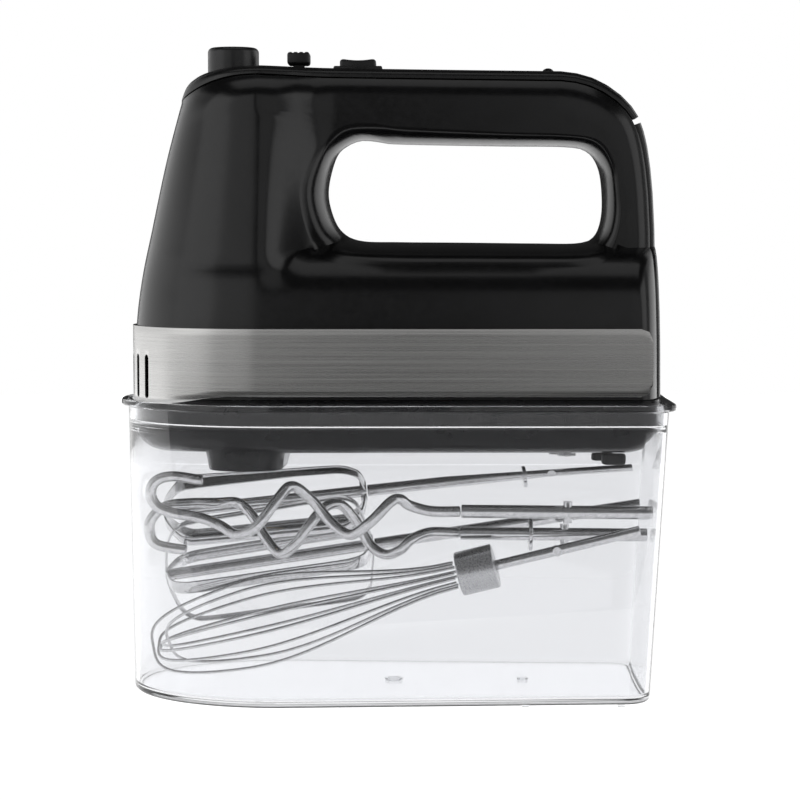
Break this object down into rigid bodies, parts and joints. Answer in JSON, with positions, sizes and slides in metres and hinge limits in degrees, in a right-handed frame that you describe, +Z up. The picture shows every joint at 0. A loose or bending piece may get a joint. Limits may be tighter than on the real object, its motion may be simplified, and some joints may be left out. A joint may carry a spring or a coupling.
{
  "type": "hand mixer",
  "caption": "Hand mixer with a gloss black housing and steel band, standing on its clear storage case with beaters, dough hooks and a whisk inside.",
  "frame": {"origin": "on the floor under the middle of the object's box", "axes": "+Z up; -X is the mixer's nose and +X its heel; -Y is the side that faces the viewer"},
  "size_m": [0.2173, 0.1062, 0.2557],
  "materials": {
    "clear_plastic": "clear, polished, light grey tint",
    "gloss_black": "high gloss black",
    "cover_black": "gloss black",
    "satin_black": "satin black, fine moulded grain",
    "rubber_black": "matte black",
    "brushed_steel": "fine grain along its length",
    "control_black": "satin black",
    "bright_steel": "polished steel",
    "machined_steel": "machined",
    "laminations": "stacked sheet",
    "copper": "enamelled copper wire",
    "brass": "sintered",
    "nylon": "natural nylon",
    "switch_grey": "moulded",
    "zinc": "die cast",
    "carbon": "pressed carbon"
  },
  "bodies": {
    "case": {"storage_case": "clear_plastic"},
    "mixer": {"housing_left": "gloss_black", "housing_right": "gloss_black", "base_pan": "satin_black", "trim_band": "brushed_steel", "top_cover": "cover_black", "rear_cover": "cover_black", "heel_foot_left": "rubber_black", "heel_foot_right": "rubber_black", "base_screw_1": "machined_steel", "base_screw_2": "machined_steel", "cable_grommet": "rubber_black", "eject_guide": "nylon", "eject_spring": "machined_steel", "turbo_spring": "machined_steel", "speed_switch": "switch_grey", "turbo_switch": "switch_grey", "stator_core": "laminations", "field_coil_upper": "copper", "field_coil_lower": "copper", "front_bearing": "brass", "rear_bearing": "brass", "motor_bracket": "zinc", "gear_chassis": "zinc", "spindle_bush_left": "brass", "spindle_bush_right": "brass", "brush_left": "carbon", "brush_right": "carbon", "brush_holder_left": "brass", "brush_holder_right": "brass"},
    "rotor": {"worm_shaft": "machined_steel", "rotor_core": "laminations", "winding_front": "copper", "winding_rear": "copper", "commutator": "copper", "cooling_fan": "nylon"},
    "spindle_left": {"spindle_left": "machined_steel", "gear_left": "nylon"},
    "spindle_right": {"spindle_right": "machined_steel", "gear_right": "nylon"},
    "eject_button": {"eject_button": "control_black", "ejector_fork": "nylon"},
    "speed_slider": {"speed_slider": "control_black"},
    "turbo_button": {"turbo_button": "control_black"},
    "beater_1": {"beater_shaft_1": "bright_steel", "beater_cage_1": "bright_steel", "beater_collar": "bright_steel"},
    "beater_2": {"beater_shaft_2": "bright_steel", "beater_cage_2": "bright_steel"},
    "dough_hook_1": {"hook_wire_1": "bright_steel", "hook_shaft_1": "bright_steel"},
    "dough_hook_2": {"hook_wire_2": "bright_steel", "hook_shaft_2": "bright_steel", "hook_collar": "bright_steel"},
    "whisk": {"whisk_shaft": "bright_steel", "whisk_ferrule": "machined_steel", "whisk_wire_1": "bright_steel", "whisk_wire_2": "bright_steel", "whisk_wire_3": "bright_steel", "whisk_wire_4": "bright_steel"}
  },
  "joints": [
    {"name": "mixer_lift", "type": "slide", "parent": "case", "child": "mixer", "axis": [0, 0, 1], "range_m": [0, 0.2]},
    {"name": "beater_1_lift", "type": "slide", "parent": "case", "child": "beater_1", "axis": [0, 0, 1], "range_m": [0, 0.1]},
    {"name": "beater_2_lift", "type": "slide", "parent": "case", "child": "beater_2", "axis": [0, 0, 1], "range_m": [0, 0.1]},
    {"name": "dough_hook_1_lift", "type": "slide", "parent": "case", "child": "dough_hook_1", "axis": [0, 0, 1], "range_m": [0, 0.1]},
    {"name": "dough_hook_2_lift", "type": "slide", "parent": "case", "child": "dough_hook_2", "axis": [0, 0, 1], "range_m": [0, 0.1]},
    {"name": "whisk_lift", "type": "slide", "parent": "case", "child": "whisk", "axis": [0, 0, 1], "range_m": [0, 0.1]},
    {"name": "rotor_spin", "type": "hinge", "parent": "mixer", "child": "rotor", "pos_m": [0, 0, 0.139], "axis": [1, 0, 0], "continuous": true},
    {"name": "spindle_left_spin", "type": "hinge", "parent": "mixer", "child": "spindle_left", "pos_m": [-0.058, -0.019, 0.139], "axis": [0, 0, 1], "continuous": true},
    {"name": "spindle_right_spin", "type": "hinge", "parent": "mixer", "child": "spindle_right", "pos_m": [-0.058, 0.019, 0.139], "axis": [0, 0, 1], "continuous": true},
    {"name": "eject_press", "type": "slide", "parent": "mixer", "child": "eject_button", "axis": [0, 0, -1], "range_m": [0, 0.0055], "stiffness_N_per_m": 600, "springref_m": -0.004, "deforming": ["eject_spring"]},
    {"name": "speed_slide", "type": "slide", "parent": "mixer", "child": "speed_slider", "axis": [-1, 0, 0], "range_m": [0, 0.009]},
    {"name": "turbo_press", "type": "slide", "parent": "mixer", "child": "turbo_button", "axis": [0, 0, -1], "range_m": [0, 0.002], "stiffness_N_per_m": 800, "springref_m": -0.001, "deforming": ["turbo_spring"]}
  ],
  "couplings": [
    {"joint": "beater_1_lift", "follows": "mixer_lift", "ratio": 0.5},
    {"joint": "beater_2_lift", "follows": "mixer_lift", "ratio": 0.5},
    {"joint": "dough_hook_1_lift", "follows": "mixer_lift", "ratio": 0.5},
    {"joint": "dough_hook_2_lift", "follows": "mixer_lift", "ratio": 0.5},
    {"joint": "whisk_lift", "follows": "mixer_lift", "ratio": 0.5},
    {"joint": "spindle_left_spin", "follows": "rotor_spin", "ratio": 0.038462},
    {"joint": "spindle_right_spin", "follows": "rotor_spin", "ratio": -0.038462}
  ]
}
